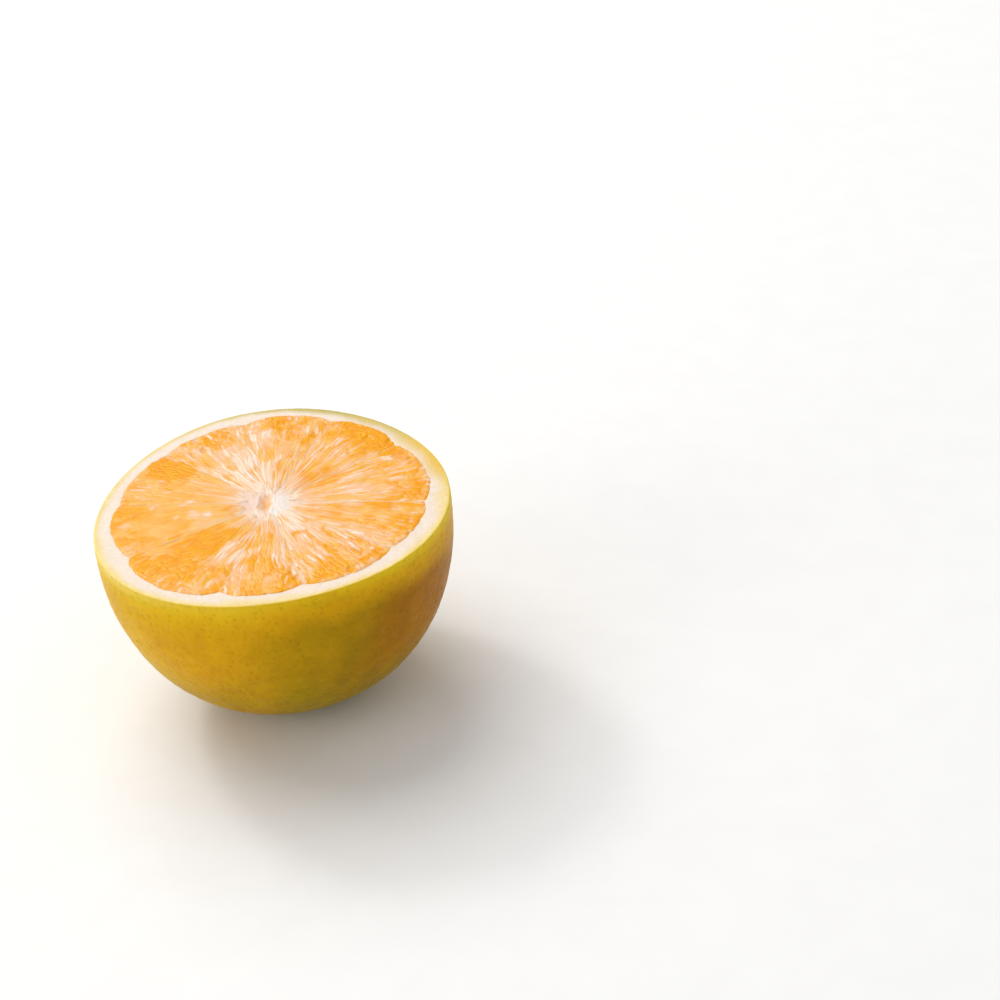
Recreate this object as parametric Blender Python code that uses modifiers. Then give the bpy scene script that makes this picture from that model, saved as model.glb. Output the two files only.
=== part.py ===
"""Half of a sweet orange, cut across its segments and lying cut side up on its uncut end.

Metres, +Z up. The cut face is level. The origin is on the ground, under the middle of the
half's bounding box. +X is the right side, -Y the side that faces the viewer.
"""

import math

import bpy
from mathutils import Matrix

NAME = "orange_half"

# The half as a whole
RIM_RADIUS = 0.0375  # mean radius of the cut edge
DEPTH = 0.0463  # from the cut face to where the uncut pole would be
WIDEST_BELOW_CUT = 0.00274  # the fruit is widest a little below the cut
FULLNESS = 2.19  # exponent of the side's curve: 2 is an ellipse, more is fuller
FOOT_RADIUS = 0.007  # small flat spot that the half rests on
EDGE_BREAK = 0.0004  # the knife leaves the edge of the rind slightly rounded

# The fruit isn't quite round: (waves around it, share of the radius, degrees of one crest)
OUTLINE_WAVES = ((2, 0.0034, 40.0), (3, 0.0224, 101.7))

# The cut face
FLESH_RADIUS = 0.0334  # outer edge of the flesh, inside the white of the rind
WALLS_AT = (37, 71, 104, 138, 174, 211, 256, 286, 323, 354)  # degrees, wall of each segment
SCALLOP = 0.035  # how far the white reaches in at a wall, as a share of the flesh radius
FLESH_RISE = 0.0005  # flesh between two walls stands this far above them
FLESH_STEP = 0.0003  # groove where the flesh meets the white
CORE_RADIUS = 0.0042  # white core where the walls meet
HOLLOW_AT = (-0.0019, 0.0006)  # small hollow in the core
HOLLOW_RADIUS = 0.0021
HOLLOW_DEPTH = 0.0018

# Facets
RAYS_PER_SEGMENT = 10
SIDE_STEPS = 16

RAYS = RAYS_PER_SEGMENT * len(WALLS_AT)
HALF_DEPTH = DEPTH - WIDEST_BELOW_CUT
WIDEST_RADIUS = RIM_RADIUS / (1 - (WIDEST_BELOW_CUT / HALF_DEPTH) ** FULLNESS) ** (
    1 / FULLNESS
)


def side_radius(below_cut):
    """Mean radius of the fruit at a depth below the cut face."""
    share = abs(below_cut - WIDEST_BELOW_CUT) / HALF_DEPTH
    return WIDEST_RADIUS * max(0.0, 1 - share**FULLNESS) ** (1 / FULLNESS)


def side_depth(radius):
    """Depth below the cut face at which the lower side has this radius."""
    share = radius / WIDEST_RADIUS
    return WIDEST_BELOW_CUT + HALF_DEPTH * (1 - share**FULLNESS) ** (1 / FULLNESS)


def smooth(x):
    x = min(1.0, max(0.0, x))
    return x * x * (3 - 2 * x)


FOOT_DEPTH = side_depth(FOOT_RADIUS)


def profile():
    """Half section from the middle of the cut face, out to the rim and down to the foot."""
    points = [(0.0, 0.0)]
    core_rings, flesh_rings = 3, 7
    for i in range(1, core_rings + 1):
        points.append((CORE_RADIUS * i / core_rings, 0.0))
    for i in range(1, flesh_rings):
        share = 1 - (1 - i / flesh_rings) ** 1.25
        points.append((CORE_RADIUS + (FLESH_RADIUS - CORE_RADIUS) * share, 0.0))
    for inset in (0.0012, 0.0004, -0.0003, -0.0010):
        points.append((FLESH_RADIUS - inset, 0.0))
    points.append((RIM_RADIUS - EDGE_BREAK, 0.0))
    first = EDGE_BREAK
    start = -math.asin(((WIDEST_BELOW_CUT - first) / HALF_DEPTH) ** (FULLNESS / 2))
    end = math.asin(((FOOT_DEPTH - WIDEST_BELOW_CUT) / HALF_DEPTH) ** (FULLNESS / 2))
    for i in range(SIDE_STEPS + 1):
        turn = start + (end - start) * i / SIDE_STEPS
        drop = math.copysign(abs(math.sin(turn)) ** (2 / FULLNESS), turn)
        below = WIDEST_BELOW_CUT + HALF_DEPTH * drop
        points.append((side_radius(below), -below))
    points.append((0.0, -FOOT_DEPTH))
    return points


def turned(points, rays):
    """The profile turned about Z, as a mesh."""
    guide = bpy.data.meshes.new("profile")
    edges = [(i, i + 1) for i in range(len(points) - 1)]
    guide.from_pydata([(x, 0.0, z) for x, z in points], edges, [])
    holder = bpy.data.objects.new("profile", guide)
    bpy.context.scene.collection.objects.link(holder)
    screw = holder.modifiers.new("Screw", "SCREW")
    screw.axis = "Z"
    screw.angle = 2 * math.pi
    screw.steps = screw.render_steps = rays
    screw.use_merge_vertices = True
    screw.merge_threshold = 0.000001
    graph = bpy.context.evaluated_depsgraph_get()
    mesh = bpy.data.meshes.new_from_object(holder.evaluated_get(graph))
    bpy.data.objects.remove(holder)
    bpy.data.meshes.remove(guide)
    return mesh


def bent_angle(angle):
    """Turns evenly spaced rays so that every tenth one lies on a segment's wall."""
    step = 2 * math.pi / len(WALLS_AT)
    at = (angle % (2 * math.pi)) / step
    i, part = int(at) % len(WALLS_AT), at - int(at)
    low = WALLS_AT[i - 1] - (360 if i == 0 else 0)
    return math.radians(low + (WALLS_AT[i] - low) * part)


def between_walls(angle):
    """0 on a wall and 1 in the middle of a segment, for an angle before bending."""
    return abs(math.sin(angle * len(WALLS_AT) / 2))


def outline(radius, angle):
    """The uneven outline: the waves fade towards the pole."""
    wave = sum(
        share * math.cos(count * (angle - math.radians(crest)))
        for count, share, crest in OUTLINE_WAVES
    )
    return radius * (1 + wave * radius / WIDEST_RADIUS)


def flesh_edge(mid):
    return FLESH_RADIUS * (1 - SCALLOP * (1 - mid**0.6))


def face_radius(radius, mid, angle):
    """Radius on the cut face: follows the scalloped flesh inside, the rim outside."""
    edge = flesh_edge(mid)
    rim = outline(RIM_RADIUS, angle)
    lobed = (outline(FLESH_RADIUS, angle) / FLESH_RADIUS + 1) / 2
    if radius <= FLESH_RADIUS:
        return radius / FLESH_RADIUS * edge * lobed
    share = (radius - FLESH_RADIUS) / (RIM_RADIUS - FLESH_RADIUS)
    return edge * lobed + (rim - edge * lobed) * share


def face_height(radius, mid, x, y):
    """Relief of the cut face: domed segments, a groove at the white, a hollow in the core."""
    inside = smooth((radius - CORE_RADIUS * 0.6) / 0.006)
    rise = FLESH_RISE * mid**0.7 * inside * smooth((FLESH_RADIUS - radius) / 0.0016)
    groove = FLESH_STEP * smooth(1 - abs(radius - FLESH_RADIUS - 0.0002) / 0.0008)
    away = math.hypot(x - HOLLOW_AT[0], y - HOLLOW_AT[1])
    return rise - groove - HOLLOW_DEPTH * smooth(1.2 - 1.2 * away / HOLLOW_RADIUS)


def shape(mesh):
    for vertex in mesh.vertices:
        x, y, z = vertex.co
        radius, angle = math.hypot(x, y), math.atan2(y, x)
        bent, mid = bent_angle(angle), between_walls(angle)
        if z > -EDGE_BREAK / 2:
            radius_now = face_radius(radius, mid, bent)
            vertex.co.x = radius_now * math.cos(bent)
            vertex.co.y = radius_now * math.sin(bent)
            vertex.co.z = z + face_height(radius, mid, vertex.co.x, vertex.co.y)
        else:
            radius_now = outline(radius, bent)
            vertex.co.x = radius_now * math.cos(bent)
            vertex.co.y = radius_now * math.sin(bent)
    mesh.update()


def paint(mesh, parts):
    """Gives each face the material of its layer, before the mesh is bent."""
    for name, colour, roughness in parts:
        material = bpy.data.materials.new(name)
        material.use_nodes = True
        shader = material.node_tree.nodes["Principled BSDF"]
        shader.inputs["Base Color"].default_value = (*colour, 1.0)
        shader.inputs["Roughness"].default_value = roughness
        shader.inputs["Metallic"].default_value = 0.0
        material.diffuse_color = (*colour, 1.0)
        mesh.materials.append(material)
    for face in mesh.polygons:
        middle = face.center
        radius = math.hypot(middle.x, middle.y)
        on_cut = middle.z > -EDGE_BREAK / 4
        white = radius < CORE_RADIUS * 0.7 or radius > FLESH_RADIUS
        face.material_index = 0 if not on_cut else (1 if white else 2)
        face.use_smooth = True


for old in list(bpy.data.objects):
    bpy.data.objects.remove(old, do_unlink=True)

group = bpy.data.collections.new(NAME)
bpy.context.scene.collection.children.link(group)

body = turned(profile(), RAYS)
body.name = NAME
paint(
    body,
    (
        ("rind", (0.52, 0.38, 0.03), 0.42),
        ("pith", (0.93, 0.83, 0.70), 0.60),
        ("flesh", (0.95, 0.42, 0.08), 0.30),
    ),
)
shape(body)

low = [min(v.co[i] for v in body.vertices) for i in range(3)]
high = [max(v.co[i] for v in body.vertices) for i in range(3)]
body.transform(
    Matrix.Translation((-(low[0] + high[0]) / 2, -(low[1] + high[1]) / 2, FOOT_DEPTH))
)
body.set_sharp_from_angle(angle=math.radians(40))

half = bpy.data.objects.new(NAME, body)
group.objects.link(half)
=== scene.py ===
"""Looks of the half orange: rind with its pores, white pith, wet segments with their juice
sacs, thin walls and the star-shaped core. Shapes are worked out in millimetres about the
middle of the cut face (z = 0 on the cut, downwards negative) and then put in place in metres.
"""

import math

import bpy
import numpy as np
from mathutils import Matrix, Vector


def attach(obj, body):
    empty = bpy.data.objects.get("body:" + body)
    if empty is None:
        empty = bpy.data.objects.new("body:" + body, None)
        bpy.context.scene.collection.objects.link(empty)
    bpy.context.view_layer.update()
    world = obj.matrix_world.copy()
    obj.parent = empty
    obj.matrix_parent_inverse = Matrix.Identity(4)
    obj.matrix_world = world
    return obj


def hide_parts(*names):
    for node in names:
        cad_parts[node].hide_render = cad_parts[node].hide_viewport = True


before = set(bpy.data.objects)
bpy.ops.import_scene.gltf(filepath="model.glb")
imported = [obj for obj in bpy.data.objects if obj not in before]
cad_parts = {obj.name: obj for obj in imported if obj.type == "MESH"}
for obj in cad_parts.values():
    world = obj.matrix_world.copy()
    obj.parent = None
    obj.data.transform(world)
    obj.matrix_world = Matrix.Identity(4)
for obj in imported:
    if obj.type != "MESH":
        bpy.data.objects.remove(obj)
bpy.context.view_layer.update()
TAU = 2 * math.pi

# ------------------------------------------------------------------ the half's own sizes, mm
RIM = 37.5
DEPTH = 46.3
WIDEST_AT = 2.74
FULLNESS = 2.19
FOOT = 7.0
WAVES = ((2, 0.0034, 40.0), (3, 0.0224, 101.7))
HALF_DEPTH = DEPTH - WIDEST_AT
WIDEST = RIM / (1 - (WIDEST_AT / HALF_DEPTH) ** FULLNESS) ** (1 / FULLNESS)
FOOT_AT = WIDEST_AT + HALF_DEPTH * (1 - (FOOT / WIDEST) ** FULLNESS) ** (1 / FULLNESS)

# Each segment, anticlockwise from +X: angle of its first wall, radius of the flesh at that
# wall and in the middle of the segment, then how smooth, pale and amber its face is.
SEGMENTS = (
    (354, 32.8, 33.6, 0.08, 0.45, 0.44),
    (37, 32.1, 33.9, 0.08, 0.28, 0.60),
    (71, 32.8, 34.6, 0.15, 0.41, 0.44),
    (104, 33.2, 33.9, 0.10, 0.52, 0.30),
    (138, 32.8, 33.4, 0.38, 0.36, 0.20),
    (174, 32.5, 33.6, 0.85, 0.16, 0.30),
    (211, 32.3, 34.6, 0.25, 0.40, 0.45),
    (256, 32.1, 33.1, 0.10, 0.33, 0.48),
    (286, 31.5, 33.5, 0.10, 0.55, 0.36),
    (323, 32.7, 33.6, 0.10, 0.20, 0.48),
)
COUNT = len(SEGMENTS)

# Soft patches where the flesh is paler or deeper: x, y, reach, how pale, how amber. The first six, small
# pale dots on the left, are painted wet highlights.
PATCHES = (
    (-18.2, 0.4, 1.3, 1.0, -0.3),
    (-21, -3.6, 1.1, 0.9, -0.3),
    (-14.5, -3.6, 1.3, 1.0, -0.3),
    (-31, -7, 1.1, 0.9, -0.2),
    (-27, -12, 1.2, 0.8, -0.2),
    (-24, 1.5, 0.9, 0.8, -0.2),
    (-5, 12, 6, 0.55, -0.2),
    (-9, 21, 6, 0.50, -0.3),
    (-8, 28, 4, 0.25, -0.2),
    (2, 9, 4, 0.20, 0.0),
    (17, 4, 6, 0.25, -0.2),
    (24, 9, 5, 0.25, -0.2),
    (14, 17, 6, 0.30, -0.2),
    (11, -8, 6, 0.30, -0.1),
    (3, -13, 5, 0.45, -0.2),
    (-7, -18, 3, 0.50, -0.2),
    (-5, -26, 3, 0.30, -0.1),
    (8, -23, 5, 0.30, -0.1),
    (24, -13, 5, 0.20, -0.1),
    (-19.5, 14.4, 3.1, -0.6, 2.2),
    (-25.0, 15.4, 2.9, -0.5, 1.9),
    (-27.5, 18.6, 2.2, -0.3, 0.9),
    (-16, 27, 3.5, -0.2, 0.5),
    (24, 20, 4.5, -0.35, 1.1),
    (17, 27, 4, -0.2, 0.7),
    (0, 31, 4, -0.1, 0.4),
    (30, 2, 3.5, -0.1, 0.5),
    (11, 9, 4, -0.1, 0.4),
    (23, -4, 2.8, -0.3, 0.9),
    (30, -10, 1.8, -0.2, 0.8),
    (23, -21, 2.0, -0.2, 0.7),
    (11.6, -10.3, 1.3, -0.3, 0.6),
    (7, -12.5, 1.9, -0.4, 0.8),
    (11.5, -29, 3.0, -0.2, 0.7),
    (-13, -15, 4, -0.3, 0.9),
    (-9, -11, 3, -0.3, 0.7),
    (-18, -23, 5, -0.1, 0.6),
    (-24, -8, 3, 0.2, 0.0),
    (-15, -6, 3, 0.25, 0.0),
    (-4, -22, 3, -0.1, 0.5),
    (15, -25, 4, -0.1, 0.6),
)


def patches_at(x, y):
    """Sums the patches, with their outlines disturbed so that none looks round."""
    u = x + 2.2 * noise(x / 3.4, y / 3.4, 0, 31)
    v = y + 2.2 * noise(x / 3.4, y / 3.4, 0, 32)
    pale, amber = np.zeros(x.shape), np.zeros(x.shape)
    for a, b, reach, paler, deeper in PATCHES:
        near = np.exp(-((u - a) ** 2 + (v - b) ** 2) / reach**2)
        pale = pale + paler * near
        amber = amber + deeper * near
    return pale, amber


def core_reach(angle):
    """The core is a rough star: how far it reaches out in each direction."""
    arms = ((146, 2.2), (60, 1.0), (104, 0.8), (211, 0.9), (254, 1.7), (300, 0.6), (349, 2.3))
    degrees = np.degrees(angle)
    reach = 4.1 + 1.7 * np.exp(-((((degrees - 176 + 180) % 360 - 180) / 40) ** 2))
    for at, more in arms:
        away = (degrees - at + 180) % 360 - 180
        reach = reach + more * np.exp(-((away / 13) ** 2))
    return reach


def outline(radius, angle):
    wave = sum(share * np.cos(n * (angle - math.radians(at))) for n, share, at in WAVES)
    return radius * (1 + wave * radius / WIDEST)


_turn = np.linspace(0, TAU, 1441)[:-1]
_x = outline(WIDEST, _turn) * np.cos(_turn)
_y = outline(WIDEST, _turn) * np.sin(_turn)
AXIS = np.array([-(_x.max() + _x.min()) / 2, -(_y.max() + _y.min()) / 2, FOOT_AT])


# ------------------------------------------------------------------ seeded noise
def lattice(i, j, k, seed):
    """A number from 0 to 1 for each point of a lattice, the same each time."""
    n = (
        (np.asarray(i).astype(np.int64) * 73856093)
        ^ (np.asarray(j).astype(np.int64) * 19349663)
        ^ (np.asarray(k).astype(np.int64) * 83492791)
        ^ (seed * 2654435761)
    ) & 0xFFFFFFFF
    for _ in range(2):
        n = ((n ^ (n >> 16)) * 0x45D9F3B) & 0xFFFFFFFF
    return (n ^ (n >> 16)) / 4294967295.0


def noise(x, y, z=0.0, seed=0):
    """Smooth noise, from -1 to 1."""
    x, y, z = np.broadcast_arrays(x, y, z)
    i, j, k = np.floor(x), np.floor(y), np.floor(z)
    u, v, w = (f**3 * (f * (f * 6 - 15) + 10) for f in (x - i, y - j, z - k))
    total = 0.0
    for a, wa in ((0, 1 - u), (1, u)):
        for b, wb in ((0, 1 - v), (1, v)):
            for c, wc in ((0, 1 - w), (1, w)):
                total = total + wa * wb * wc * lattice(i + a, j + b, k + c, seed)
    return total * 2 - 1


def cloud(x, y, z=0.0, seed=0, octaves=3):
    parts = [
        noise(x * 2**n, y * 2**n, z * 2**n, seed + n) / 2**n for n in range(octaves)
    ]
    return sum(parts) / sum(1 / 2**n for n in range(octaves))


def smooth(x):
    x = np.clip(x, 0, 1)
    return x * x * (3 - 2 * x)


def cells(s, t, seed, jitter=0.85):
    """Irregular cells, about one to each unit square, in columns shifted against each other:
    the distance to the cell's edge, the place in the cell, and four numbers of the cell."""
    column = np.floor(s)
    around = []
    for a in (-1, 0, 1):
        i = column + a
        shift = lattice(i, 0 * i, 9, seed)
        for b in (-1, 0, 1):
            j = np.floor(t + shift) + b
            p = i + 0.5 + jitter * (lattice(i, j, 0, seed) - 0.5)
            q = j + 0.5 - shift + jitter * (lattice(i, j, 1, seed) - 0.5)
            around.append((p, q, i, j))
    near = np.full(s.shape, 1e9)
    own = np.zeros((4, *s.shape))
    for p, q, i, j in around:
        away = (p - s) ** 2 + (q - t) ** 2
        own = np.where(away < near, np.stack([p, q, i, j]), own)
        near = np.minimum(near, away)
    edge = np.full(s.shape, 1e9)
    for p, q, i, j in around:
        dx, dy = p - own[0], q - own[1]
        length = np.hypot(dx, dy)
        other = length > 1e-6
        length = np.where(other, length, 1)
        to = ((p + own[0]) / 2 - s) * dx / length + ((q + own[1]) / 2 - t) * dy / length
        edge = np.where(other, np.minimum(edge, to), edge)
    numbers = [lattice(own[2], own[3], 10 + n, seed) for n in range(4)]
    return np.maximum(edge, 0), s - own[0], t - own[1], numbers


def pores(p, pitch, seed):
    """Distance from each point to the nearest of the pores scattered in space."""
    q = p / pitch
    base = np.floor(q)
    near = np.full(len(p), 9.0)
    which = np.zeros(len(p))
    for a in (-1, 0, 1):
        for b in (-1, 0, 1):
            for c in (-1, 0, 1):
                cell = base + (a, b, c)
                at = [lattice(*cell.T, seed + n) * 0.9 + 0.05 for n in range(3)]
                away = ((cell + np.stack(at, 1) - q) ** 2).sum(1)
                which = np.where(away < near, lattice(*cell.T, seed + 5), which)
                near = np.minimum(near, away)
    return np.sqrt(near) * pitch, which


# ------------------------------------------------------------------ meshes from grids
def sewn(a, b, wrap=True):
    """Faces between two rings of points, the second with as many points or half of them."""
    if wrap:
        a, b = np.append(a, a[0]), np.append(b, b[0])
    if len(a) == len(b):
        return [np.stack([a[:-1], b[:-1], b[1:], a[1:]], 1)], []
    start, middle, end = a[:-2:2], a[1:-1:2], a[2::2]
    left, right = b[:-1], b[1:]
    return [], [
        np.stack([start, left, middle], 1),
        np.stack([middle, left, right], 1),
        np.stack([middle, right, end], 1),
    ]


def circle(count, u, v, radius):
    """Places around a circle on the map, as complex numbers, for faces that are never seen."""
    return complex(u, v) + radius * np.exp(1j * TAU * np.arange(count + 1) / count)


class Body:
    """Collects points, faces, map places and named values, and makes one mesh of them.
    Faces that are never seen have places of their own on the map, clear of the others."""

    def __init__(self):
        self.points, self.maps, self.values, self.count = [], [], [], 0
        self.quads, self.tris = [], []

    def add(self, points, uv, **values):
        """Points (n, 3) in mm about the middle of the cut face. Returns their numbers."""
        n = len(points)
        self.points.append(points)
        self.maps.append(uv)
        self.values.append({k: np.broadcast_to(v, n) for k, v in values.items()})
        self.count += n
        return np.arange(self.count - n, self.count)

    def sew(self, a, b, wrap=True, flip=False, places=None):
        faces = sewn(a, b, wrap)
        spots = sewn(*places, wrap=False) if places else ([None], [None] * 3)
        for store, groups, at in zip((self.quads, self.tris), faces, spots):
            store += [(group, spot, flip) for group, spot in zip(groups, at)]

    def fan(self, ring, tip, flip=False, places=None):
        def spread(line, end):
            return np.stack([line[:-1], np.full(len(line) - 1, end), line[1:]], 1)

        spots = spread(*places) if places else None
        self.tris.append((spread(np.append(ring, ring[0]), tip), spots, flip))

    def cap(self, ring, places, flip=False):
        """Closes a ring with faces that all meet in its first point."""
        at = np.arange(1, len(ring) - 1)
        corners = np.stack([at, 0 * at, at + 1], 1)
        self.tris.append((ring[corners], places[corners], flip))

    def make(self, name, material, body="root"):
        points = np.concatenate(self.points)
        uv = np.concatenate(self.maps)

        def gathered(store, corners):
            numbers, places = [np.zeros((0, corners), int)], [np.zeros((0, corners, 2))]
            for group, spot, flip in store:
                at = uv[group] if spot is None else np.stack([spot.real, spot.imag], 2)
                numbers.append(group[:, :: -1 if flip else 1])
                places.append(at[:, :: -1 if flip else 1])
            return np.concatenate(numbers), np.concatenate(places)

        quads, quad_places = gathered(self.quads, 4)
        tris, tri_places = gathered(self.tris, 3)
        split = np.concatenate([quads[:, [0, 1, 2]], quads[:, [0, 2, 3]], tris])
        corners = points[split]
        volume = np.einsum(
            "ij,ij->i", corners[:, 0], np.cross(corners[:, 1], corners[:, 2])
        ).sum()
        if volume < 0:
            quads, tris = quads[:, ::-1], tris[:, ::-1]
            quad_places, tri_places = quad_places[:, ::-1], tri_places[:, ::-1]
        places = (points + AXIS) / 1000
        mesh = bpy.data.meshes.new(name)
        mesh.vertices.add(len(places))
        mesh.vertices.foreach_set("co", places.astype(np.float32).ravel())
        loops = np.concatenate([quads.ravel(), tris.ravel()]).astype(np.int32)
        mesh.loops.add(len(loops))
        mesh.loops.foreach_set("vertex_index", loops)
        sizes = np.concatenate([np.full(len(quads), 4), np.full(len(tris), 3)])
        starts = np.concatenate([[0], np.cumsum(sizes)[:-1]]).astype(np.int32)
        mesh.polygons.add(len(sizes))
        mesh.polygons.foreach_set("loop_start", starts)
        mesh.update(calc_edges=True)
        mesh.polygons.foreach_set("use_smooth", np.ones(len(sizes), bool))
        for key in sorted({k for group in self.values for k in group}):
            data = np.concatenate(
                [
                    group.get(key, np.zeros(len(p)))
                    for group, p in zip(self.values, self.points)
                ]
            )
            layer = mesh.attributes.new(key, "FLOAT", "POINT")
            layer.data.foreach_set("value", data.astype(np.float32))
        layer = mesh.uv_layers.new(name="OFBake")
        places = np.concatenate([quad_places.reshape(-1, 2), tri_places.reshape(-1, 2)])
        layer.uv.foreach_set("vector", places.astype(np.float32).ravel())
        mesh.materials.append(material)
        mesh.validate()
        # Where a piece turns down into a hidden side, its top isn't shaded as if it were round.
        mesh.set_sharp_from_angle(angle=math.radians(60))
        made = bpy.data.objects.new(name, mesh)
        bpy.context.scene.collection.objects.link(made)
        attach(made, body)
        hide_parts("orange_half")
        return made


# ------------------------------------------------------------------ materials
class Shader:
    """A Principled material and short ways to add nodes to it."""

    def __init__(self, name, **sockets):
        self.material = bpy.data.materials.new(name)
        self.material.use_nodes = True
        self.nodes = self.material.node_tree.nodes
        self.links = self.material.node_tree.links
        self.main = self.nodes["Principled BSDF"]
        for key, value in sockets.items():
            self.main.inputs[key.replace("_", " ")].default_value = value

    def put(self, socket, value):
        if isinstance(value, bpy.types.NodeSocket):
            self.links.new(value, socket)
        elif isinstance(value, tuple) and len(value) == 3 and socket.type == "RGBA":
            socket.default_value = (*value, 1.0)
        else:
            socket.default_value = value

    def value(self, name):
        node = self.nodes.new("ShaderNodeAttribute")
        node.attribute_name = name
        return node.outputs["Fac"]

    def place(self):
        return self.nodes.new("ShaderNodeTexCoord").outputs["Object"]

    def vector(self, x, y, z):
        node = self.nodes.new("ShaderNodeCombineXYZ")
        for socket, value in zip(node.inputs, (x, y, z)):
            self.put(socket, value)
        return node.outputs[0]

    def noise(self, place, scale, detail=2.0, rough=0.5, warp=0.0):
        node = self.nodes.new("ShaderNodeTexNoise")
        self.put(node.inputs["Vector"], place)
        node.inputs["Scale"].default_value = scale
        node.inputs["Detail"].default_value = detail
        node.inputs["Roughness"].default_value = rough
        node.inputs["Distortion"].default_value = warp
        return node.outputs["Fac"]

    def voronoi(self, place, scale, feature="F1"):
        node = self.nodes.new("ShaderNodeTexVoronoi")
        node.feature = feature
        self.put(node.inputs["Vector"], place)
        node.inputs["Scale"].default_value = scale
        return node.outputs["Distance"]

    def math(self, kind, a, b=0.0, c=0.0, clamp=False):
        node = self.nodes.new("ShaderNodeMath")
        node.operation = kind
        node.use_clamp = clamp
        for socket, value in zip(node.inputs, (a, b, c)):
            self.put(socket, value)
        return node.outputs[0]

    def ramp(self, value, low, high, to_low=0.0, to_high=1.0):
        node = self.nodes.new("ShaderNodeMapRange")
        node.interpolation_type = "SMOOTHSTEP"
        for key, v in zip(
            ("Value", "From Min", "From Max", "To Min", "To Max"),
            (value, low, high, to_low, to_high),
        ):
            self.put(node.inputs[key], v)
        return node.outputs["Result"]

    def mix(self, share, a, b, kind="MIX"):
        node = self.nodes.new("ShaderNodeMix")
        node.data_type = "RGBA"
        node.blend_type = kind
        self.put(node.inputs["Factor"], share)
        self.put(node.inputs[6], a)
        self.put(node.inputs[7], b)
        return node.outputs[2]

    def bump(self, height, distance, normal=None):
        node = self.nodes.new("ShaderNodeBump")
        node.inputs["Distance"].default_value = distance
        self.put(node.inputs["Height"], height)
        if normal is not None:
            self.put(node.inputs["Normal"], normal)
        return node.outputs["Normal"]

    def done(self, colour, rough, normal=None):
        self.put(self.main.inputs["Base Color"], colour)
        self.put(self.main.inputs["Roughness"], rough)
        if normal is not None:
            self.put(self.main.inputs["Normal"], normal)
        return self.material


def skin_colours(s):
    """Rind colour from its values: gold, dull green, dark orange, leaf green, a yellow-green rim and cream
    at the left rim. The dull green and dark orange hold painted shade on the right front, the rim band is
    partly painted light and the cream is a painted highlight.
    """
    place = s.place()
    mottle = s.noise(place, 210.0, 4.0, 0.6)
    speck = s.noise(place, 1500.0, 2.0, 0.5)
    shift = s.math("MULTIPLY_ADD", mottle, 0.22, -0.11)
    shift = s.math("MULTIPLY_ADD", speck, 0.10, s.math("ADD", shift, -0.05))
    gold = s.mix(s.ramp(mottle, 0.32, 0.72), (0.69, 0.335, 0.001), (0.77, 0.40, 0.002))
    # The two darker colours below, dull green and dark orange, serve partly as painted shade on the right
    # front.
    olive = s.mix(s.ramp(mottle, 0.32, 0.72), (0.34, 0.218, 0.001), (0.445, 0.28, 0.001))
    brown = s.mix(s.ramp(mottle, 0.32, 0.72), (0.36, 0.135, 0.001), (0.455, 0.175, 0.001))
    leaf = s.mix(s.ramp(mottle, 0.32, 0.72), (0.20, 0.21, 0.002), (0.34, 0.31, 0.004))
    colour = s.mix(s.ramp(s.math("ADD", s.value("olive"), shift), 0.0, 1.0), gold, olive)
    colour = s.mix(s.ramp(s.math("ADD", s.value("brown"), shift), 0.0, 1.0), colour, brown)
    colour = s.mix(s.ramp(s.math("ADD", s.value("leaf"), shift), 0.1, 0.9), colour, leaf)
    # Yellow-green rim band, partly the skin's colour and partly painted light.
    colour = s.mix(s.value("lime"), colour, (0.92, 0.64, 0.014))
    # Painted highlight: pale cream at the left rim, where the light falls.
    colour = s.mix(s.value("cream"), colour, (0.93, 0.74, 0.36))
    return colour, place, mottle, speck


def rind_material():
    s = Shader(
        "rind",
        IOR=1.42,
        Specular_IOR_Level=0.08,
        Subsurface_Weight=0.10,
        Subsurface_Scale=0.0012,
        Subsurface_Radius=(1.0, 0.5, 0.1),
    )
    colour, place, mottle, speck = skin_colours(s)
    pore = s.value("pore")
    colour = s.mix(s.math("MULTIPLY", pore, 0.09), colour, (0.34, 0.22, 0.002))
    colour = s.mix(s.value("scar"), colour, (0.16, 0.10, 0.045))
    pits = s.ramp(s.voronoi(place, 760.0), 0.06, 0.46)
    tiny = s.ramp(s.voronoi(place, 1900.0), 0.0, 0.5)
    colour = s.mix(s.math("MULTIPLY_ADD", pits, -0.16, 0.16), colour, (0.36, 0.25, 0.002))
    rough = s.math("MULTIPLY_ADD", mottle, 0.12, 0.33)
    rough = s.math("MULTIPLY_ADD", pore, 0.10, rough)
    height = s.math("MULTIPLY_ADD", tiny, 0.22, s.math("MULTIPLY_ADD", speck, 0.15, pits))
    return s.done(colour, rough, s.bump(height, 0.00013))


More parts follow.
